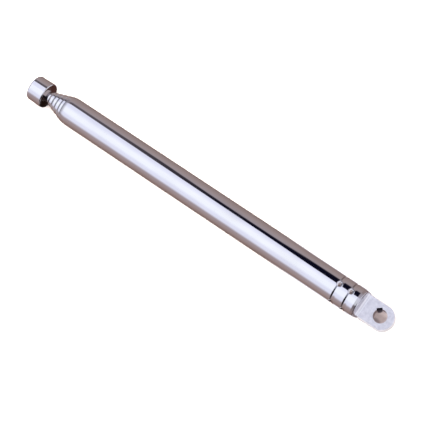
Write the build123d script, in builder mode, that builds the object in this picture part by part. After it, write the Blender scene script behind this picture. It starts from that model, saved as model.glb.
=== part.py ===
"""Telescopic rod aerial in six sections, pushed in, with a flat mounting tab at its foot.

Millimetres. The origin is the centre of the mounting hole, +X runs along the rod from the hole
to the knob, and +Z is the axis of the hole, square to the flat faces of the tab. Section 1 is
the outer tube, sections 2 to 5 are the tubes that slide in it, and section 6 is the tip rod.
"""
from build123d import *
import math
import os

# Sections
section_count = 6
outer_diameter = 7.0
diameter_step = 0.8
wall = 0.2
running_gap = 0.03  # radial, where one section slides in another
press_gap = 0.01  # radial, where a piece is pressed into another

# Outer tube, along X
tube_start = 5.3
tube_mouth = 90.4
tube_swage_length = 1.8
tube_swage_drop = 0.2
lip_length = 0.9  # the tab end of the tube, rolled in a little
lip_drop = 0.13
lip_round = 0.05
edge_round = 0.08

# Rolled grooves and punched dimples that lock the base plug in the outer tube
groove_places = [7.97, 11.02]
groove_depth = 0.17
groove_half_width = 0.36
dimple_rim_diameter = 1.4
dimple_depth = 0.25
dimples_per_ring = 4
first_dimple_angle = 13.5  # degrees from +Z towards -Y

# Base plug: a turned plug with a flat tab milled on it
plug_top = 12.88
plug_chamfer = 0.2
tab_width = 6.1
tab_thickness = 2.5
tab_end_centre = -0.2  # of the half round at the tab's end
tab_shoulder_start = 4.3
tab_shoulder_wall = 5.08
tab_shoulder_radius = 0.9
tab_edge_round = 0.12
hole_diameter = 3.2
key_width = 1.3
key_depth = 0.25
key_angle = -52.0  # degrees from +X, seen from +Z

# Sliding tubes, each standing on the foot of the one around it
sliding_tube_length = 78.2
sliding_swage_length = 0.6
sliding_swage_drop = 0.12
first_foot = 12.9
flange_thickness = 0.3
spigot_length = 0.92
stack_gap = 0.02
flange_gap = 0.05
vent_diameter = 0.8
rib_height = 0.12
rib_half_width = 0.35
shim_length = 8.0
shim_start = 0.1
shim_slit = 0.5
shim_gap = 0.02
rib_place = shim_start + shim_length + 0.15 + rib_half_width

# Tip rod and knob
tip_spigot_diameter = 2.0
tip_foot_thickness = 0.6
knob_underside = 96.2
knob_cone = 0.15  # the rim of the underside stands back from its middle
knob_length = 4.45
knob_diameter = 6.5
knob_taper = 0.07
knob_edge = 0.2
knob_crown_radius = 0.35
knob_bore_depth = 2.6

section_radius = [(outer_diameter - diameter_step * i) / 2 for i in range(section_count)]
bore_radius = [radius - wall for radius in section_radius[:-1]]
stack_step = flange_thickness + spigot_length + stack_gap
foot_place = [first_foot + stack_step * i for i in range(section_count - 1)]
half_tab = tab_thickness / 2
half_width = tab_width / 2
far = 20.0  # longer than anything that a cutter has to reach across

os.makedirs("parts", exist_ok=True)


def save(builder, name):
    """Label a finished piece and write it."""
    builder.part.label = name
    export_step(builder.part, f"parts/{name}.step")


def ribbed_line(x_start, x_end, radius, ribs):
    """Draw a line along X with a smooth rib at each (place, height, half width).

    A negative height is a groove. Each rib is three arcs that meet without a corner.
    """
    x = x_start
    for place, height, half in ribs:
        Line((x, radius), (place - half, radius))
        middle = radius + height / 2
        rise = TangentArc((place - half, radius), (place - half / 2, middle), tangent=(1, 0))
        crest = TangentArc(rise @ 1, (place + half / 2, middle), tangent=rise % 1)
        TangentArc(crest @ 1, (place + half, radius), tangent=crest % 1)
        x = place + half
    Line((x, radius), (x_end, radius))


def swaged_mouth(mouth, radius, inner_radius, next_radius, length, drop):
    """Draw a tube's mouth, drawn in to guide the next section and stop its rib.

    It runs from the outer surface at (mouth - length) to the bore at (mouth - 0.85 length).
    """
    lip = radius - drop
    guide = next_radius + running_gap
    TangentArc((mouth - length, radius), (mouth - edge_round, lip), tangent=(1, 0))
    TangentArc((mouth - edge_round, lip), (mouth, lip - edge_round), tangent=(1, 0))
    Polyline(
        (mouth, lip - edge_round),
        (mouth, guide),
        (mouth - 0.2 * length, guide),
        (mouth - 0.85 * length, inner_radius),
    )


def dimple_frames(distance):
    """Give the places of the dimples, at a distance from the rod's axis."""
    frames = []
    for place in groove_places:
        for i in range(dimples_per_ring):
            angle = math.radians(first_dimple_angle + i * 360 / dimples_per_ring)
            frames.append((place, -distance * math.sin(angle), distance * math.cos(angle)))
    return frames


# The dimples are caps of a sphere, whose inside surface is one wall thickness larger.
dimple_radius = ((dimple_rim_diameter / 2) ** 2 + dimple_depth**2) / (2 * dimple_depth)
dimple_distance = section_radius[0] - dimple_depth + dimple_radius
grooves = [(place, -groove_depth, groove_half_width) for place in groove_places]

# The bumps that the dimples push into the bore of the outer tube
with BuildPart() as dimple_bumps:
    with Locations(dimple_frames(dimple_distance)):
        Sphere(dimple_radius + wall)
    with BuildSketch(Plane.YZ):
        Circle(section_radius[0] - wall / 2)
    extrude(amount=far, mode=Mode.INTERSECT)

# Outer tube: rounded at the tab end, rolled and punched onto the plug, swaged at the mouth
with BuildPart() as outer_tube:
    with BuildSketch(Plane.XZ):
        with BuildLine():
            lip_end = tube_start + lip_length
            lip_radius = section_radius[0] - lip_drop
            swage_start = tube_mouth - tube_swage_length
            Line((tube_start, bore_radius[0]), (tube_start, lip_radius - lip_round))
            TangentArc(
                (tube_start, lip_radius - lip_round),
                (tube_start + lip_round, lip_radius),
                tangent=(0, 1),
            )
            TangentArc(
                (lip_end, section_radius[0]),
                (tube_start + lip_round, lip_radius),
                tangent=(-1, 0),
            )
            ribbed_line(lip_end, swage_start, section_radius[0], grooves)
            swaged_mouth(
                tube_mouth,
                section_radius[0],
                bore_radius[0],
                section_radius[1],
                tube_swage_length,
                tube_swage_drop,
            )
            ribbed_line(tube_start, tube_mouth - 0.85 * tube_swage_length, bore_radius[0], grooves)
        make_face()
    revolve(axis=Axis.X)
    add(dimple_bumps.part)
    with Locations(dimple_frames(dimple_distance)):
        Sphere(dimple_radius, mode=Mode.SUBTRACT)
save(outer_tube, "outer_tube")

# Base plug: its body fills the tube up to the stack of feet, and its tab stands out of it
with BuildPart() as base_plug:
    plug_radius = bore_radius[0] - press_gap
    with BuildSketch(Plane.XZ):
        with BuildLine():
            ribbed_line(tube_start, plug_top - plug_chamfer, plug_radius, grooves)
            Polyline(
                (plug_top - plug_chamfer, plug_radius),
                (plug_top, plug_radius - plug_chamfer),
                (plug_top, 0),
                (tab_end_centre - half_width, 0),
                (tab_end_centre - half_width, half_width),
                (tab_shoulder_start, half_width),
            )
            TangentArc(
                (tube_start, plug_radius),
                (tab_shoulder_start, half_width),
                tangent=(-1, 0),
            )
        make_face()
    revolve(axis=Axis.X)
    with BuildSketch(Plane.XZ):
        with Locations((tab_shoulder_wall, half_tab)):
            Rectangle(far, far, align=(Align.MAX, Align.MIN))
        inner_corner = vertices().group_by(Axis.X)[-1].sort_by(Axis.Z)[0]
        fillet(inner_corner, tab_shoulder_radius)
        mirror(about=Plane.XZ)
    extrude(amount=far, both=True, mode=Mode.SUBTRACT)
    with BuildSketch(Plane.XY):
        with Locations((tab_end_centre, 0)):
            Circle(half_width)
            Rectangle(far, far, align=(Align.MIN, Align.CENTER))
    extrude(amount=far, both=True, mode=Mode.INTERSECT)
    flat_edges = faces().filter_by(Axis.Z).edges()
    end_arcs = flat_edges.filter_by(lambda edge: edge.center().X < -hole_diameter / 2)
    fillet(end_arcs, tab_edge_round)
    with BuildSketch(Plane.XY):
        Circle(hole_diameter / 2)
        with Locations(Rotation(0, 0, key_angle)):
            Rectangle(hole_diameter / 2 + key_depth, key_width, align=(Align.MIN, Align.CENTER))
    extrude(amount=far, both=True, mode=Mode.SUBTRACT)
    with Locations(dimple_frames(dimple_distance)):
        Sphere(dimple_radius + wall + press_gap, mode=Mode.SUBTRACT)
save(base_plug, "base_plug")


def sliding_tube(index):
    """A chromed tube with a rolled rib that holds its shims and stops it in the next mouth."""
    radius = section_radius[index]
    start = foot_place[index - 1] + flange_thickness
    mouth = start + sliding_tube_length
    ribs = [(start + rib_place, rib_height, rib_half_width)]
    with BuildPart() as tube:
        with BuildSketch(Plane.XZ):
            with BuildLine():
                Line((start, bore_radius[index]), (start, radius))
                ribbed_line(start, mouth - sliding_swage_length, radius, ribs)
                swaged_mouth(
                    mouth,
                    radius,
                    bore_radius[index],
                    section_radius[index + 1],
                    sliding_swage_length,
                    sliding_swage_drop,
                )
                ribbed_line(start, mouth - 0.85 * sliding_swage_length, bore_radius[index], ribs)
            make_face()
        revolve(axis=Axis.X)
    return tube


def tube_foot(index):
    """A brass bush pressed into the foot of a tube, with a flange that holds the shims."""
    with BuildPart() as foot:
        with BuildSketch(Plane.YZ.offset(foot_place[index - 1])):
            Circle(bore_radius[index - 1] - flange_gap)
        extrude(amount=flange_thickness)
        with BuildSketch(Plane.YZ.offset(foot_place[index - 1] + flange_thickness)):
            Circle(bore_radius[index] - press_gap)
        extrude(amount=spigot_length)
        with BuildSketch(Plane.YZ):
            Circle(vent_diameter / 2)
        extrude(amount=2 * far, mode=Mode.SUBTRACT)
    return foot


def shim(index, start, side):
    """Half of the springy brass liner between a section and the bore around it."""
    outer = bore_radius[index - 1] - shim_gap
    with BuildPart() as half_shell:
        with BuildSketch(Plane.YZ.offset(start + shim_start)):
            Circle(outer)
            Circle(section_radius[index] + press_gap, mode=Mode.SUBTRACT)
            with Locations((0, -side * (outer - shim_slit / 2))):
                Rectangle(2 * outer, 2 * outer, mode=Mode.SUBTRACT)
        extrude(amount=shim_length)
    return half_shell


for index in range(1, section_count - 1):
    number = index + 1
    save(sliding_tube(index), f"section_{number}_tube")
    save(tube_foot(index), f"section_{number}_foot")
    tube_foot_top = foot_place[index - 1] + flange_thickness
    save(shim(index, tube_foot_top, 1), f"section_{number}_shim_upper")
    save(shim(index, tube_foot_top, -1), f"section_{number}_shim_lower")

tip_foot = foot_place[-1]
tip_start = tip_foot + tip_foot_thickness
tip_radius = section_radius[-1]

# Tip rod: solid, with a spigot at its foot and a rib above its shims
with BuildPart() as tip_rod:
    with BuildSketch(Plane.XZ):
        with BuildLine():
            rod_end = knob_underside + knob_bore_depth - 0.1
            Polyline(
                (tip_start, tip_radius),
                (tip_start, tip_spigot_diameter / 2),
                (tip_foot, tip_spigot_diameter / 2),
                (tip_foot, 0),
                (rod_end, 0),
                (rod_end, tip_radius),
            )
            ribs = [(tip_start + rib_place, rib_height, rib_half_width)]
            ribbed_line(tip_start, rod_end, tip_radius, ribs)
        make_face()
    revolve(axis=Axis.X)
save(tip_rod, "tip_rod")

# Tip foot: a brass washer riveted on the rod's spigot
with BuildPart() as tip_rod_foot:
    with BuildSketch(Plane.YZ.offset(tip_foot)):
        Circle(bore_radius[-1] - flange_gap)
        Circle(tip_spigot_diameter / 2 + press_gap, mode=Mode.SUBTRACT)
    extrude(amount=tip_foot_thickness)
save(tip_rod_foot, "tip_rod_foot")

save(shim(section_count - 1, tip_start, 1), "tip_rod_shim_upper")
save(shim(section_count - 1, tip_start, -1), "tip_rod_shim_lower")

# Knob: a turned cap pressed on the end of the rod, a little smaller towards its crown
with BuildPart() as tip_knob:
    knob_radius = knob_diameter / 2
    knob_top = knob_underside + knob_length
    crown_edge = knob_radius - knob_taper
    rim = knob_underside + knob_cone
    with BuildSketch(Plane.XZ):
        with BuildLine():
            Polyline(
                (knob_top, 0),
                (knob_underside + knob_bore_depth, 0),
                (knob_underside + knob_bore_depth, tip_radius + press_gap),
                (knob_underside, tip_radius + press_gap),
                (rim, knob_radius - knob_edge),
            )
            TangentArc(
                (rim, knob_radius - knob_edge),
                (rim + knob_edge, knob_radius),
                tangent=(0, 1),
            )
            Line((rim + knob_edge, knob_radius), (knob_top - knob_crown_radius, crown_edge))
            TangentArc(
                (knob_top - knob_crown_radius, crown_edge),
                (knob_top, crown_edge - knob_crown_radius),
                tangent=(1, 0),
            )
            Line((knob_top, crown_edge - knob_crown_radius), (knob_top, 0))
        make_face()
    revolve(axis=Axis.X)
save(tip_knob, "tip_knob")
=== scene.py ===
"""Looks of the telescopic rod aerial: chrome, satin and brass materials, light, floor and camera.

Metres, in the part's own frame: the origin is the centre of the mounting hole, +X runs along
the rod to the knob, and +Z is square to the tab, up from the floor that the rod lies on.
"""
import math

import bmesh
import bpy
from mathutils import Matrix, Vector


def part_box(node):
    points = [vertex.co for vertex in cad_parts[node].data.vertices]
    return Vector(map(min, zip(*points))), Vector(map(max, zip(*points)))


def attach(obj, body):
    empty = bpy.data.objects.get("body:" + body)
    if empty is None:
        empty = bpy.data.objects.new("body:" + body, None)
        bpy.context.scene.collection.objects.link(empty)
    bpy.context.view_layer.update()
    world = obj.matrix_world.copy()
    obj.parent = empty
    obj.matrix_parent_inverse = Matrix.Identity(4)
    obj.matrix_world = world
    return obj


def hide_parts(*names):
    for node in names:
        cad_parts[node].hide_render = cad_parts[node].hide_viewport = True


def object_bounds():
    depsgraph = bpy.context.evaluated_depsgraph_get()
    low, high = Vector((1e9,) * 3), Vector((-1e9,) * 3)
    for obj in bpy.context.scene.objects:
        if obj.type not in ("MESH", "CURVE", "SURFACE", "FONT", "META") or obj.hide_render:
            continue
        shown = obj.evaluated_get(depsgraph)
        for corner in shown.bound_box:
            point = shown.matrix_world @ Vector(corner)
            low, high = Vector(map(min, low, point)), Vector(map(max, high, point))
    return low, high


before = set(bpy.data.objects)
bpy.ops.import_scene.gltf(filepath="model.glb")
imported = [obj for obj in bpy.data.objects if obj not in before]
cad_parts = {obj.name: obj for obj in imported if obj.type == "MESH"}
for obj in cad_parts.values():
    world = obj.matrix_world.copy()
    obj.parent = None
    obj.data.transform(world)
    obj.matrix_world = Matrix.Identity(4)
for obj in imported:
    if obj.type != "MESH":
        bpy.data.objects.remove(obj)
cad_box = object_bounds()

MM = 0.001
scene = bpy.context.scene

# ---------------------------------------------------------------- camera
# The rod leans across the picture from upper left to lower right, with its tab end nearer.
TILT = math.radians(17.2)            # between the rod and the picture plane
PICTURE_SLOPE = math.radians(33.73)  # of the rod in the picture, below the horizontal
ROLL = math.radians(5.0)             # of the tab's face about the rod, away from the camera
FOCAL_LENGTH = 111.3                 # in millimetres, as is the sensor's width
SENSOR_WIDTH = 36.0
NEAREST_SHOWN = 10 * MM
DISTANCE = 311.3 * MM
AIM = Vector((43.39, 1.765, -0.5)) * MM

# Directions about the rod: TO_TAB along it, ABOVE towards the camera, SIDE up in the picture
TO_TAB = Vector((-1, 0, 0))
ABOVE = Vector((0, math.sin(ROLL), math.cos(ROLL)))
SIDE = ABOVE.cross(TO_TAB)


def add_camera():
    """A long lens above the rod, past its tab end."""
    along = TO_TAB * math.cos(TILT) - ABOVE * math.sin(TILT)
    back = TO_TAB * math.sin(TILT) + ABOVE * math.cos(TILT)
    right = along * math.cos(PICTURE_SLOPE) + SIDE * math.sin(PICTURE_SLOPE)
    up = SIDE * math.cos(PICTURE_SLOPE) - along * math.sin(PICTURE_SLOPE)
    data = bpy.data.cameras.new("camera")
    data.lens = FOCAL_LENGTH
    data.sensor_width = SENSOR_WIDTH
    data.clip_start = NEAREST_SHOWN
    camera = bpy.data.objects.new("camera", data)
    scene.collection.objects.link(camera)
    rotation = Matrix((right, up, back)).transposed().to_4x4()
    camera.matrix_world = Matrix.Translation(AIM + back * DISTANCE) @ rotation
    scene.camera = camera


# ---------------------------------------------------------------- node helpers
class Nodes:
    """A node tree that is built by short calls, each of which gives back a socket."""

    def __init__(self, tree):
        self.tree = tree
        tree.nodes.clear()

    def add(self, kind, **settings):
        node = self.tree.nodes.new(kind)
        for name, value in settings.items():
            setattr(node, name, value)
        return node

    def link(self, value, socket):
        """Link a socket to an input, or set the input to a value."""
        if isinstance(value, bpy.types.NodeSocket):
            self.tree.links.new(value, socket)
        else:
            socket.default_value = value

    def math(self, operation, a, b=0.0):
        node = self.add("ShaderNodeMath", operation=operation)
        for value, socket in zip((a, b), node.inputs):
            self.link(value, socket)
        return node.outputs[0]

    def product(self, first, *others):
        for other in others:
            first = self.math("MULTIPLY", first, other)
        return first

    def dot(self, a, b):
        node = self.add("ShaderNodeVectorMath", operation="DOT_PRODUCT")
        self.link(a, node.inputs[0])
        self.link(b, node.inputs[1])
        return node.outputs["Value"]

    def parts(self, place):
        """The X, Y and Z parts of a vector."""
        node = self.add("ShaderNodeSeparateXYZ")
        self.link(place, node.inputs[0])
        return node.outputs

    def length(self, a, b):
        """The length of the hypotenuse."""
        return self.math("SQRT", self.math("ADD", self.product(a, a), self.product(b, b)))

    def smooth(self, value, start, end):
        """0 up to start, 1 from end on, and smooth between them. End may be below start."""
        node = self.add("ShaderNodeMapRange", interpolation_type="SMOOTHSTEP")
        self.link(value, node.inputs["Value"])
        self.link(start, node.inputs["From Min"])
        self.link(end, node.inputs["From Max"])
        return node.outputs["Result"]

    def window(self, value, first_edge, last_edge):
        """1 between two edges. Each is a pair of values: where it is still 0, and where it is 1."""
        return self.product(self.smooth(value, *first_edge), self.smooth(value, *last_edge))

    def step(self, value, edge, blur):
        """0 before an edge and 1 after it, or the other way round where the blur is negative."""
        return self.smooth(value, self.math("SUBTRACT", edge, blur), self.math("ADD", edge, blur))

    def scaled(self, value, from_range, to_range):
        """Scale a range of values to another, and clamp it there."""
        node = self.add("ShaderNodeMapRange")
        for number, socket in zip((value, *from_range, *to_range), node.inputs):
            self.link(number, socket)
        return node.outputs["Result"]

    def mix(self, factor, a, b):
        node = self.add("ShaderNodeMix", data_type="RGBA")
        self.link(factor, node.inputs[0])
        self.link(a, node.inputs[6])
        self.link(b, node.inputs[7])
        return node.outputs[2]

    def ramp(self, value, stops):
        """A colour ramp with (position, colour) stops."""
        node = self.add("ShaderNodeValToRGB")
        elements = node.color_ramp.elements
        for element, (position, colour) in zip(elements, (stops[0], stops[-1])):
            element.position = position
            element.color = rgba(colour)
        for position, colour in stops[1:-1]:
            elements.new(position).color = rgba(colour)
        self.link(value, node.inputs[0])
        return node.outputs[0]

    def level(self, value, stops):
        """A number that runs through (place, number) stops in straight lines."""
        places, numbers = zip(*stops)
        start, length = places[0], places[-1] - places[0]
        low, height = min(numbers), max(numbers) - min(numbers)
        greys = []
        for place, number in stops:
            greys.append(((place - start) / length, ((number - low) / height,) * 3))
        turned = self.ramp(self.math("DIVIDE", self.math("SUBTRACT", value, start), length), greys)
        return self.math("ADD", self.product(turned, height), low)

    def noise(self, coordinates, stretch, scale, detail, roughness=0.5):
        """Noise with features 1/scale metres large, stretched along X, Y and Z."""
        mapping = self.add("ShaderNodeMapping")
        self.link(coordinates, mapping.inputs["Vector"])
        mapping.inputs["Scale"].default_value = [scale / s for s in stretch]
        node = self.add("ShaderNodeTexNoise")
        self.link(mapping.outputs[0], node.inputs["Vector"])
        node.inputs["Scale"].default_value = 1.0
        node.inputs["Detail"].default_value = detail
        node.inputs["Roughness"].default_value = roughness
        return node.outputs["Fac"]


def rgba(colour):
    return (*colour, 1.0)


def display(red, green, blue):
    """The linear colour that is shown as these 0 to 255 display values."""
    return tuple(((v / 255 + 0.055) / 1.055) ** 2.4 for v in (red, green, blue))


# ---------------------------------------------------------------- light
# The studio as the rod sees it, by the angle about the rod in degrees: 0 is above, towards the
# camera, and positive angles are up in the picture. The lean of a direction is its part along
# the rod, from -1 at the tab end to 1 at the knob end. Unless its comment says otherwise, a pair
# says where a thing is still absent and where it is whole.

# The dim, warm room, square to the rod and towards each end, as (angle, colour) stops
ROOM = [
    (-180.0, display(112, 96, 92)),
    (-130.0, display(146, 124, 119)),
    (-110.0, display(161, 140, 138)),
    (-90.0, display(171, 154, 156)),
    (-60.0, display(172, 160, 166)),
    (0.0, display(170, 158, 164)),
    (60.0, display(166, 156, 164)),
    (90.0, display(166, 150, 150)),
    (130.0, display(150, 132, 130)),
    (180.0, display(112, 96, 92)),
]
TAB_END = [
    (-180.0, display(40, 27, 22)),
    (-150.0, display(44, 32, 28)),
    (-100.0, display(80, 69, 69)),
    (-78.0, display(34, 28, 32)),
    (-50.0, display(20, 20, 30)),
    (-20.0, display(52, 54, 68)),
    (0.0, display(140, 144, 166)),
    (30.0, display(180, 180, 200)),
    (62.0, display(160, 156, 168)),
    (80.0, display(112, 100, 100)),
    (130.0, display(104, 76, 74)),
    (180.0, display(94, 66, 63)),
]
KNOB_END = [
    (-180.0, display(120, 106, 104)),
    (-150.0, display(64, 56, 58)),
    (-128.0, display(186, 184, 194)),
    (-98.0, display(186, 184, 194)),
    (-80.0, display(108, 104, 112)),
    (0.0, display(150, 152, 168)),
    (50.0, display(112, 114, 128)),
    (80.0, display(108, 106, 116)),
    (98.0, display(190, 188, 198)),
    (128.0, display(190, 188, 198)),
    (150.0, display(64, 56, 58)),
    (180.0, display(120, 106, 104)),
]
TAB_END_LEAN = (0.12, -0.25)
KNOB_END_LEAN = (0.55, 0.8)
ROOM_GAIN = 1.0

# A light past the tab end, on the upper side of the picture
END_LIGHT = display(240, 240, 252)
END_LIGHT_LEAN = (-0.38, -0.46)
END_LIGHT_ANGLES = ((-40.0, -20.0), (150.0, 135.0))

# White paper below the rod, which shows beside it and far past its tab
PAPER = display(240, 238, 247)
PAPER_GAIN = 1.15
PAPER_ANGLE = (135.0, 155.0)           # to either side
PAPER_LEAN = ((-0.29, -0.22), (0.26, 0.22))
PAPER_PAST_TAB = (-0.56, -0.66)

# A wide soft box above the rod's length. It reaches further round towards the knob.
SOFT_BOX = [
    (-90.0, display(215, 216, 234)),
    (-45.0, display(222, 224, 243)),
    (-36.0, display(231, 234, 249)),
    (-26.0, display(241, 245, 255)),
    (0.0, display(242, 245, 255)),
    (18.0, display(228, 231, 249)),
    (28.0, display(221, 223, 243)),
    (90.0, display(221, 223, 243)),
]
BOX_GAIN = 1.22
BOX_FAR_EDGE = (-82.0, -58.0)
BOX_EDGE = [                           # angle, by lean
    (0.19, 29.5),
    (0.23, 30.8),
    (0.25, 33.7),
    (0.265, 34.5),
    (0.30, 36.3),
    (0.35, 39.6),
    (0.39, 43.1),
    (0.42, 46.0),
]
BOX_BLUR = 1.5
BOX_KNOB_LEAN = (0.8, 0.58)
BOX_CORNER = (-42.0, -28.0)            # angles over which the box's end at the tab moves out
BOX_ABSENT_LEAN = (-0.08, -0.3)        # at that end, before and after the corner
BOX_WHOLE_LEAN = (0.08, 0.06)

# A black flag along the soft box's edge. It is fainter towards the knob.
FLAG = display(12, 12, 30)
FLAG_EDGE = [                          # angle, by lean
    (0.19, 69.0),
    (0.23, 66.7),
    (0.25, 58.5),
    (0.28, 58.0),
    (0.30, 58.5),
    (0.32, 61.4),
    (0.35, 67.5),
    (0.40, 65.3),
]
FLAG_BLUR_AT_BOX = 1.0
FLAG_BLUR = 6.0
FLAG_LEAN = ((-0.02, 0.12), (0.7, 0.5))
FLAG_FADE_LEAN = (0.30, 0.43)
FLAG_DEPTH = (1.0, 0.7)                # before and after it fades

CEILING_LIGHT_POWER = 22.0             # watts
CEILING_LIGHT_SIZE = 1200 * MM
CEILING_LIGHT_PLACE = (45 * MM, 0, 600 * MM)
ROOM_ON_FLOOR = 0.1                    # strength of the light that matt surfaces get from the room


def add_world():
    """Light from all round, by the angle about the rod and the lean towards the knob."""
    world = bpy.data.worlds.new("studio")
    scene.world = world
    world.use_nodes = True
    n = Nodes(world.node_tree)
    direction = n.add("ShaderNodeTexCoord").outputs["Generated"]
    angle = n.math("ARCTAN2", n.dot(direction, SIDE), n.dot(direction, ABOVE))
    degrees = n.product(angle, math.degrees(1))
    lean = n.dot(direction, -TO_TAB)

    def around(stops):
        turn = n.math("DIVIDE", n.math("ADD", degrees, 180.0), 360.0)
        return n.ramp(turn, [((place + 180) / 360, colour) for place, colour in stops])

    room = n.mix(n.smooth(lean, *TAB_END_LEAN), around(ROOM), around(TAB_END))
    room = n.mix(n.smooth(lean, *KNOB_END_LEAN), room, around(KNOB_END))
    in_end_light = n.product(
        n.smooth(lean, *END_LIGHT_LEAN), n.window(degrees, *END_LIGHT_ANGLES)
    )
    room = n.mix(in_end_light, room, rgba(END_LIGHT))
    along_paper = n.math(
        "MAXIMUM", n.window(lean, *PAPER_LEAN), n.smooth(lean, *PAPER_PAST_TAB)
    )
    on_paper = n.product(n.smooth(n.math("ABSOLUTE", degrees), *PAPER_ANGLE), along_paper)
    room = n.mix(on_paper, room, rgba(PAPER))

    box_edge = n.level(lean, BOX_EDGE)
    box_absent = n.scaled(degrees, BOX_CORNER, BOX_ABSENT_LEAN)
    box_whole = n.scaled(degrees, BOX_CORNER, BOX_WHOLE_LEAN)
    in_box = n.product(
        n.smooth(degrees, *BOX_FAR_EDGE),
        n.step(degrees, box_edge, -BOX_BLUR),
        n.window(lean, (box_absent, box_whole), BOX_KNOB_LEAN),
    )
    in_flag = n.product(
        n.step(degrees, box_edge, FLAG_BLUR_AT_BOX),
        n.step(degrees, n.level(lean, FLAG_EDGE), -FLAG_BLUR),
        n.scaled(lean, FLAG_FADE_LEAN, FLAG_DEPTH),
        n.window(lean, *FLAG_LEAN),
    )
    colour = n.mix(in_flag, n.mix(in_box, room, around(SOFT_BOX)), rgba(FLAG))
    gain = n.math("ADD", ROOM_GAIN, n.product(in_box, BOX_GAIN - ROOM_GAIN))
    gain = n.math("ADD", gain, n.product(on_paper, PAPER_GAIN - ROOM_GAIN))

    studio = n.add("ShaderNodeBackground")
    n.link(colour, studio.inputs["Color"])
    n.link(gain, studio.inputs["Strength"])
    # The floor gets little of the room's light, and the picture shows white past the floor.
    rays = n.add("ShaderNodeLightPath")
    shown = studio.outputs[0]
    for kind, strength in (("Is Diffuse Ray", ROOM_ON_FLOOR), ("Is Camera Ray", 1.0)):
        plain = n.add("ShaderNodeBackground")
        plain.inputs["Color"].default_value = (1, 1, 1, 1)
        plain.inputs["Strength"].default_value = strength
        either = n.add("ShaderNodeMixShader")
        n.link(rays.outputs[kind], either.inputs[0])
        n.link(shown, either.inputs[1])
        n.link(plain.outputs[0], either.inputs[2])
        shown = either.outputs[0]
    n.link(shown, n.add("ShaderNodeOutputWorld").inputs["Surface"])


def add_ceiling_light():
    """A wide soft light overhead for the floor, which shows white beside the rod."""
    data = bpy.data.lights.new("ceiling_light", "AREA")
    data.size = CEILING_LIGHT_SIZE
    data.energy = CEILING_LIGHT_POWER
    light = bpy.data.objects.new("ceiling_light", data)
    light.location = CEILING_LIGHT_PLACE
    light.visible_glossy = False
    scene.collection.objects.link(light)


# ---------------------------------------------------------------- places on the part
# The hole in the tab, with the keyway on its side
HOLE_RADIUS = 1.6 * MM
KEY_ANGLE = math.radians(-52)          # from +X, positive towards +Y
KEY_DIRECTION = Vector((math.cos(KEY_ANGLE), math.sin(KEY_ANGLE), 0))
KEY_HALF_WIDTH = 0.65 * MM
KEY_END = 1.85 * MM                    # from the hole's centre
EDGE_BLUR = 0.02 * MM
HALF_TAB = 1.25 * MM                   # of the tab's thickness

# The outer tube's rolled grooves
GROOVE_PLACES = (7.97 * MM, 11.02 * MM)
GROOVE_DEPTH = 0.11 * MM
GROOVE_FLANKS = (0.75 * MM, 0.55 * MM)  # towards the tab end and towards the mouth

# ---------------------------------------------------------------- materials
# Colours are linear. A noise's scale is its features in a metre.
NOISE_RANGE = (0.3, 0.7)               # that nearly all values of a noise lie in
NOISE_CORE = (0.35, 0.65)              # and that most of them lie in
DRAWN = (40, 1, 1)                     # stretch of fine lines along the rod
TURNED = (1, 12, 12)                   # and of lines round it
EVEN = (1, 1, 1)


def new_material(name):
    """A material and its nodes, with a Principled shader that is linked to the output."""
    material = bpy.data.materials.new(name)
    material.use_nodes = True
    n = Nodes(material.node_tree)
    shader = n.add("ShaderNodeBsdfPrincipled")
    n.link(shader.outputs[0], n.add("ShaderNodeOutputMaterial").inputs["Surface"])
    place = n.add("ShaderNodeTexCoord").outputs["Object"]
    return material, n, shader, place


def add_bump(n, shader, height, distance, strength):
    bump = n.add("ShaderNodeBump")
    bump.inputs["Strength"].default_value = strength
    bump.inputs["Distance"].default_value = distance
    n.link(height, bump.inputs["Height"])
    n.link(bump.outputs[0], shader.inputs["Normal"])


# Chrome. Each pair of distances says where painted shade starts and where it is whole.
SUNK = (3.39 * MM, 3.28 * MM)          # in the grooves, from the axis
GROOVE_MARGIN = (1.2 * MM, 1.0 * MM)   # before the first groove and past the last
KNOB_RIM = (0.15 * MM, 0.3 * MM)       # inside the knob's edge
KNOB_UNDERSIDE = (0.8 * MM, 0.6 * MM)  # from the end of the knob that faces the neck
PLAIN_CHROME = (0.80, 0.80, 0.815)
BRIGHT_CHROME = (0.84, 0.84, 0.85)
HANDLED_CHROME = (0.70, 0.68, 0.67)
# Painted shade: the darker tint for the grooves, the dimples and the knob's underside
SHADED_CHROME = (0.42, 0.34, 0.31)
HANDLED = (0.52, 0.75)                 # of a noise: where handling starts to show, and is whole


def groove_shade(n, place):
    """Where shade is painted, as a darker tint, in the outer tube's grooves and dimples."""
    x, y, z = n.parts(place)
    first, last = GROOVE_PLACES
    from_first = [first - margin for margin in GROOVE_MARGIN]
    to_last = [last + margin for margin in GROOVE_MARGIN]
    return n.product(n.smooth(n.length(y, z), *SUNK), n.window(x, from_first, to_last))


def underside_shade(n, place):
    """Where shade is painted, as a darker tint, on the knob's underside inside its rim."""
    x, y, z = n.parts(place)
    low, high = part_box("tip_knob")
    inside_rim = [high.z - inwards for inwards in KNOB_RIM]
    near_neck = [low.x + along for along in KNOB_UNDERSIDE]
    return n.product(n.smooth(n.length(y, z), *inside_rim), n.smooth(x, *near_neck))


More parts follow.
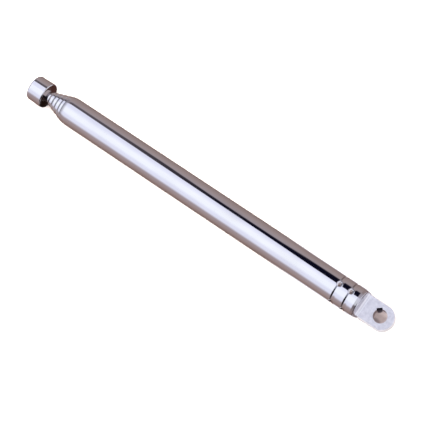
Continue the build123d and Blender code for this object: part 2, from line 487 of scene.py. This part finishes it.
def chrome(name, lines, roughness, grime, shade_mask=None, dulling=0.15):
    """Bright chrome plate, with fine lines stretched by lines along X, Y and Z.

    grime is how much handling has dulled its tint. The mask argument gives the places where
    shade is painted on, as a darker tint, and dulling is the roughness added there.
    """
    material, n, shader, place = new_material(name)
    shader.inputs["Metallic"].default_value = 1.0
    streaks = n.noise(place, lines, scale=9000, detail=4)
    clouds = n.noise(place, (3, 1, 1), scale=500, detail=4)
    handled = n.smooth(n.noise(place, (2, 1, 1), scale=160, detail=5), *HANDLED)
    clouded = n.scaled(clouds, NOISE_CORE, (0.0, 1.0))
    tint = n.mix(clouded, rgba(PLAIN_CHROME), rgba(BRIGHT_CHROME))
    tint = n.mix(n.product(handled, grime), tint, rgba(HANDLED_CHROME))
    rough = n.scaled(streaks, NOISE_RANGE, (roughness * 0.6, roughness * 1.4))
    rough = n.math("ADD", rough, n.product(handled, roughness * 0.8))
    # Painted shade: the masked places get the darker tint, with specks in it
    if shade_mask:
        specks = n.noise(place, EVEN, scale=6000, detail=3)
        shaded = n.product(shade_mask(n, place), n.scaled(specks, NOISE_RANGE, (0.75, 1.0)))
        tint = n.mix(shaded, tint, rgba(SHADED_CHROME))
        rough = n.math("ADD", rough, n.product(shaded, dulling))
    n.link(tint, shader.inputs["Base Color"])
    n.link(rough, shader.inputs["Roughness"])
    add_bump(n, shader, streaks, distance=0.0006 * MM, strength=0.6)
    return material


# The plug. Each pair of places along it says where a finish or a painted highlight starts and where
# it is whole.
SHOULDER_FOOT = ((4.0 * MM, 4.2 * MM), (4.85 * MM, 4.7 * MM))
TAB_SIDES = (4.2 * MM, 4.0 * MM)
BELOW_FACE = (0.005 * MM, 0.03 * MM)   # from the tab's flat faces inwards
SIDE_MATT = 0.8                        # share of the tab's sides that is matt
PALE_SATIN = (0.69, 0.68, 0.715)
PALER_SATIN = (0.82, 0.805, 0.84)
# Painted highlight for the foot of the shoulder
SHOULDER_HIGHLIGHT = (0.99, 0.98, 1.0)
# Painted light: the lighter tint of the tab's sides and the edges of its faces
SIDES_PAINTED_LIGHTER = (0.95, 0.94, 0.97)
MATT_SIDES = (0.42, 0.415, 0.445)
# Painted shade: dark walls of the hole, and near black walls of the keyway
SHADED_HOLE_WALL = (0.20, 0.16, 0.165)
SHADED_KEYWAY = (0.012, 0.01, 0.016)
SATIN_ROUGHNESS = (0.42, 0.28)
SIDE_ROUGHNESS = 0.2                    # that the tab's sides add
HOLE_WALL_ROUGHNESS = 0.4
SPECULAR = 0.5                         # where the plug has no painted shade


def satin_plug():
    """Bare, milled and tumbled metal, pale with a cool tint, and a little mottled.

    A band of painted highlight runs round the foot of the shoulder. The tab's sides are matt and
    painted lighter, and the walls of the hole and of its keyway are painted dark with shade.
    """
    material, n, shader, place = new_material("satin_plug")
    x, y, z = n.parts(place)
    cutter = n.noise(place, (1, 14, 1), scale=5200, detail=3)
    mottle = n.noise(place, EVEN, scale=1500, detail=5, roughness=0.6)
    mottled = n.scaled(mottle, NOISE_CORE, (0.0, 1.0))
    tint = n.mix(mottled, rgba(PALE_SATIN), rgba(PALER_SATIN))
    rough = n.scaled(mottle, NOISE_RANGE, SATIN_ROUGHNESS)
    # Painted highlight: a bright band round the foot of the shoulder
    tint = n.mix(n.window(x, *SHOULDER_FOOT), tint, rgba(SHOULDER_HIGHLIGHT))

    below_face = [HALF_TAB - inwards for inwards in BELOW_FACE]
    sides = n.smooth(n.math("ABSOLUTE", z), *below_face)
    # Painted light: the tab's sides and the edges of its faces get a lighter tint
    tint = n.mix(sides, tint, rgba(SIDES_PAINTED_LIGHTER))
    rough = n.math("ADD", rough, n.product(sides, SIDE_ROUGHNESS))
    matt = n.product(sides, n.smooth(x, *TAB_SIDES), SIDE_MATT)
    tint = n.mix(matt, tint, rgba(MATT_SIDES))

    # Painted shade on the walls of the hole and keyway: dark, matt and without gloss
    along_key = n.dot(place, KEY_DIRECTION)
    across_key = n.math("ABSOLUTE", n.dot(place, KEY_DIRECTION.cross(Vector((0, 0, 1)))))
    in_key = n.product(
        n.smooth(across_key, KEY_HALF_WIDTH + EDGE_BLUR, KEY_HALF_WIDTH),
        n.window(along_key, (0.0, EDGE_BLUR), (KEY_END + EDGE_BLUR, KEY_END)),
    )
    in_hole = n.smooth(n.length(x, y), HOLE_RADIUS + EDGE_BLUR, HOLE_RADIUS)
    shaded = n.math("MAXIMUM", in_hole, in_key)
    tint = n.mix(in_hole, tint, rgba(SHADED_HOLE_WALL))
    tint = n.mix(in_key, tint, rgba(SHADED_KEYWAY))
    rough = n.math("ADD", rough, n.product(shaded, HOLE_WALL_ROUGHNESS))

    metallic = n.math("SUBTRACT", 1.0, n.math("MAXIMUM", shaded, matt))
    specular = n.product(n.math("SUBTRACT", 1.0, shaded), SPECULAR)
    n.link(metallic, shader.inputs["Metallic"])
    n.link(specular, shader.inputs["Specular IOR Level"])
    n.link(tint, shader.inputs["Base Color"])
    n.link(rough, shader.inputs["Roughness"])
    rise = n.math("ADD", n.product(cutter, 0.6), mottle)
    add_bump(n, shader, rise, distance=0.012 * MM, strength=0.5)
    return material


# Brass
BARE_BRASS = (0.83, 0.64, 0.33)
TARNISHED_BRASS = (0.55, 0.38, 0.17)
TARNISHED = (0.45, 0.75)               # of a noise: where tarnish starts to show, and is whole


def brass(name, lines, roughness):
    """Bare brass with tool lines and a little tarnish."""
    material, n, shader, place = new_material(name)
    shader.inputs["Metallic"].default_value = 1.0
    streaks = n.noise(place, lines, scale=8000, detail=4)
    tarnish = n.smooth(n.noise(place, EVEN, scale=900, detail=5), *TARNISHED)
    tint = n.mix(tarnish, rgba(BARE_BRASS), rgba(TARNISHED_BRASS))
    rough = n.scaled(streaks, NOISE_RANGE, (roughness * 0.7, roughness * 1.4))
    n.link(tint, shader.inputs["Base Color"])
    n.link(rough, shader.inputs["Roughness"])
    add_bump(n, shader, streaks, distance=0.004 * MM, strength=0.6)
    return material


# ---------------------------------------------------------------- floor
FLOOR_SIZE = 1200 * MM
FLOOR_GAP = 0.02 * MM
PAPER_TINTS = (0.92, 0.83, 0.78), (0.96, 0.87, 0.82)
# Painted shadow under the tab and its keyway, as darker spots on the paper
PAINTED_SHADOW_UNDER_TAB = [                # places on the floor, how far round them, and the paper's colour
    ((0.9 * MM, -0.4 * MM), 3.3 * MM, (0.66, 0.54, 0.53)),
    ((1.0 * MM, 2.0 * MM), 2.0 * MM, (0.30, 0.245, 0.25)),
    ((3.3 * MM, 0.3 * MM), 1.6 * MM, (0.36, 0.30, 0.30)),
    ((0.8 * MM, -2.8 * MM), 1.6 * MM, (0.36, 0.30, 0.31)),
    ((1.82 * MM, -1.7 * MM), 1.1 * MM, (0.05, 0.04, 0.05)),
]
FULL_SHARE = 0.6             # of each place's reach that has its whole colour
UNDER_EDGE = (2.5 * MM, 2.1 * MM)  # to either side, where these start and where they are whole


def pale_floor():
    """Matt white paper, with shadow painted on it: dim under the tab, and dark under the keyway."""
    material, n, shader, place = new_material("floor")
    x, y, _ = n.parts(place)
    grain = n.noise(place, EVEN, scale=900, detail=6)
    shade = n.mix(grain, *map(rgba, PAPER_TINTS))
    under = n.smooth(n.math("ABSOLUTE", y), *UNDER_EDGE)
    # Painted shadow: each spot darkens the paper's colour under the tab
    for (spot_x, spot_y), reach, colour in PAINTED_SHADOW_UNDER_TAB:
        away = n.length(n.math("SUBTRACT", x, spot_x), n.math("SUBTRACT", y, spot_y))
        near = n.product(n.smooth(away, reach, reach * FULL_SHARE), under)
        shade = n.mix(near, shade, rgba(colour))
    n.link(shade, shader.inputs["Base Color"])
    shader.inputs["Roughness"].default_value = 0.9
    shader.inputs["Specular IOR Level"].default_value = 0.1
    return material


def add_floor():
    """The plane that the tube lies on. Mirror-bright metal reflects the room and not the paper."""
    height = cad_box[0].z - FLOOR_GAP
    bpy.ops.mesh.primitive_plane_add(size=FLOOR_SIZE, location=(0, 0, height))
    floor = bpy.context.object
    floor.name = "floor"
    floor.data.materials.append(pale_floor())
    floor.visible_glossy = False


# ---------------------------------------------------------------- outer tube
# The outer tube as one smooth mesh. Its rolled grooves and punched dimples blend into its
# surface, as in drawn metal, where the CAD node's dimples have a sharp rim. The lip at its tab
# end is a short cone.
SEGMENTS = 256                       # round the tube
WALL = 0.2 * MM
DIMPLE_DEPTH = 0.27 * MM
DIMPLE_REACH = 0.78 * MM             # from its middle to where it blends into the tube
INNER_SHARE = 0.8                    # of that reach, on the tube's inside
FIRST_DIMPLE = math.radians(13.5)    # from +Z towards -Y
QUARTER = math.pi / 2                # between the dimples of a ring
LIP_LENGTH = 0.86 * MM
LIP_SLOPE = 0.145
LIP_BLEND = 0.2 * MM
LIP_ROUND = 0.12 * MM
GROOVED_LENGTH = 6.2 * MM            # of the finer mesh past the lip
SWAGE_LENGTH = 1.8 * MM
SWAGE_DROP = 0.2 * MM
GUIDE_SHARE = 0.2                    # of the swage's length, where the mouth guides section 2
CONE_SHARE = 0.85                    # of that length, where the bore's cone ends
MOUTH_ROUND = 0.08 * MM
MOUTH_GAP = 0.03 * MM                # to the section inside
SECTION_2_RADIUS = 3.1 * MM
SHARP_ANGLE = math.radians(35)


def bell(offset, reach):
    """1 at the middle and 0 from reach on, smooth between them."""
    if abs(offset) >= reach:
        return 0.0
    return 0.5 + 0.5 * math.cos(math.pi * offset / reach)


def spaced(start, end, count):
    """Numbers from start up to, and without, end."""
    return [start + (end - start) * i / count for i in range(count)]


def quarter_round(centre_x, centre_r, radius, start, end, steps=4):
    """Points of an arc, with its angle in quarter turns from +X towards outwards."""
    turns = [(start + (end - start) * i / steps) * math.pi / 2 for i in range(steps + 1)]
    return [(centre_x + radius * math.cos(t), centre_r + radius * math.sin(t)) for t in turns]


def groove(x):
    """Depth of the grooves at x."""
    offsets = [x - place for place in GROOVE_PLACES]
    return sum(bell(offset, GROOVE_FLANKS[offset > 0]) for offset in offsets) * GROOVE_DEPTH


def lip(into):
    """Drop of the lip's cone at a distance into it from the straight tube."""
    if into < LIP_BLEND:
        return LIP_SLOPE * into ** 2 / (2 * LIP_BLEND)
    return LIP_SLOPE * (into - LIP_BLEND / 2)


def tube_section(start, mouth, radius):
    """The tube's closed section as (x, radius) points, and how many of them are outside."""
    bore = radius - WALL
    guide = SECTION_2_RADIUS + MOUTH_GAP
    lip_end = start + LIP_LENGTH
    lip_radius = radius - lip(LIP_LENGTH - LIP_ROUND)
    grooved_end = lip_end + GROOVED_LENGTH
    swage_start = mouth - SWAGE_LENGTH
    swage_end = mouth - MOUTH_ROUND

    section = quarter_round(start + LIP_ROUND, lip_radius - LIP_ROUND, LIP_ROUND, 2, 1)
    for x in spaced(start + LIP_ROUND, lip_end, count=12)[1:]:
        section.append((x, radius - lip(lip_end - x)))
    section += [(x, radius - groove(x)) for x in spaced(lip_end, grooved_end, count=72)]
    section += [(x, radius) for x in spaced(grooved_end, swage_start, count=12)]
    for x in spaced(swage_start, swage_end, count=16):
        drop = SWAGE_DROP * ((x - swage_start) / (swage_end - swage_start)) ** 2
        section.append((x, radius - drop))
    mouth_radius = radius - SWAGE_DROP - MOUTH_ROUND
    section += quarter_round(swage_end, mouth_radius, MOUTH_ROUND, 1, 0)
    outside = len(section)
    section.append((mouth, guide))
    section.append((mouth - GUIDE_SHARE * SWAGE_LENGTH, guide))
    section.append((mouth - CONE_SHARE * SWAGE_LENGTH, bore))
    inside = spaced(start, grooved_end, count=56)
    inside += spaced(grooved_end, swage_start, count=8)
    section += [(x, bore - groove(x)) for x in reversed(inside)]
    return section, outside


def dimples(x, turn, radius, reach):
    """Depth of the dimples at x and at an angle round the tube, from +Z towards -Y."""
    off = (turn - FIRST_DIMPLE + QUARTER / 2) % QUARTER - QUARTER / 2
    depths = [bell(math.hypot(x - place, off * radius), reach) for place in GROOVE_PLACES]
    return DIMPLE_DEPTH * sum(depths)


def outer_tube():
    """Turn the tube's section about X, and press the dimples into it."""
    low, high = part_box("outer_tube")
    radius = high.z
    section, outside = tube_section(low.x, high.x, radius)
    deepest = radius - GROOVE_DEPTH - DIMPLE_DEPTH - WALL
    vertices = []
    for ring, (x, r) in enumerate(section):
        reach = DIMPLE_REACH if ring < outside else DIMPLE_REACH * INNER_SHARE
        for i in range(SEGMENTS):
            turn = 2 * math.pi * i / SEGMENTS
            here = min(r, max(r - dimples(x, turn, radius, reach), deepest))
            vertices.append((x, -here * math.sin(turn), here * math.cos(turn)))
    faces = []
    for ring in range(len(section)):
        this = ring * SEGMENTS
        after = (ring + 1) % len(section) * SEGMENTS
        for i in range(SEGMENTS):
            j = (i + 1) % SEGMENTS
            faces.append((this + i, after + i, after + j, this + j))
    mesh = bpy.data.meshes.new("outer_tube_skin")
    mesh.from_pydata(vertices, [], faces)
    builder = bmesh.new()
    builder.from_mesh(mesh)
    bmesh.ops.recalc_face_normals(builder, faces=builder.faces)
    builder.to_mesh(mesh)
    builder.free()
    mesh.shade_smooth()
    mesh.set_sharp_from_angle(angle=SHARP_ANGLE)
    # The grooves and dimples get painted shade.
    finish = chrome("chrome_outer_tube", DRAWN, roughness=0.05, grime=0.25, shade_mask=groove_shade)
    mesh.materials.append(finish)
    tube = bpy.data.objects.new("outer_tube_skin", mesh)
    scene.collection.objects.link(tube)
    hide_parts("outer_tube")
    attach(tube, "outer_section")


# ---------------------------------------------------------------- CAD nodes
def paint(names, material):
    """Give CAD nodes a material in place of their plain one."""
    for name in names:
        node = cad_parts[name]
        node.data.materials.clear()
        node.data.materials.append(material)


def paint_nodes():
    """The finish of every node but the outer tube."""
    sections = [f"section_{i}" for i in range(2, 6)]
    tubes = [f"{section}_tube" for section in sections] + ["tip_rod"]
    feet = [f"{section}_foot" for section in sections + ["tip_rod"]]
    shims = [f"{s}_shim_{half}" for s in sections + ["tip_rod"] for half in ("upper", "lower")]
    # The knob's underside gets painted shade.
    turned_chrome = chrome(
        "chrome_knob", TURNED, roughness=0.07, grime=0.3, shade_mask=underside_shade, dulling=0.02
    )
    paint(tubes, chrome("chrome_sections", DRAWN, roughness=0.06, grime=0.3))
    paint(["tip_knob"], turned_chrome)
    paint(["base_plug"], satin_plug())
    paint(feet, brass("brass_feet", TURNED, roughness=0.28))
    paint(shims, brass("brass_shims", DRAWN, roughness=0.22))


add_camera()
add_world()
add_ceiling_light()
add_floor()
outer_tube()
paint_nodes()
scene.view_settings.view_transform = "Standard"
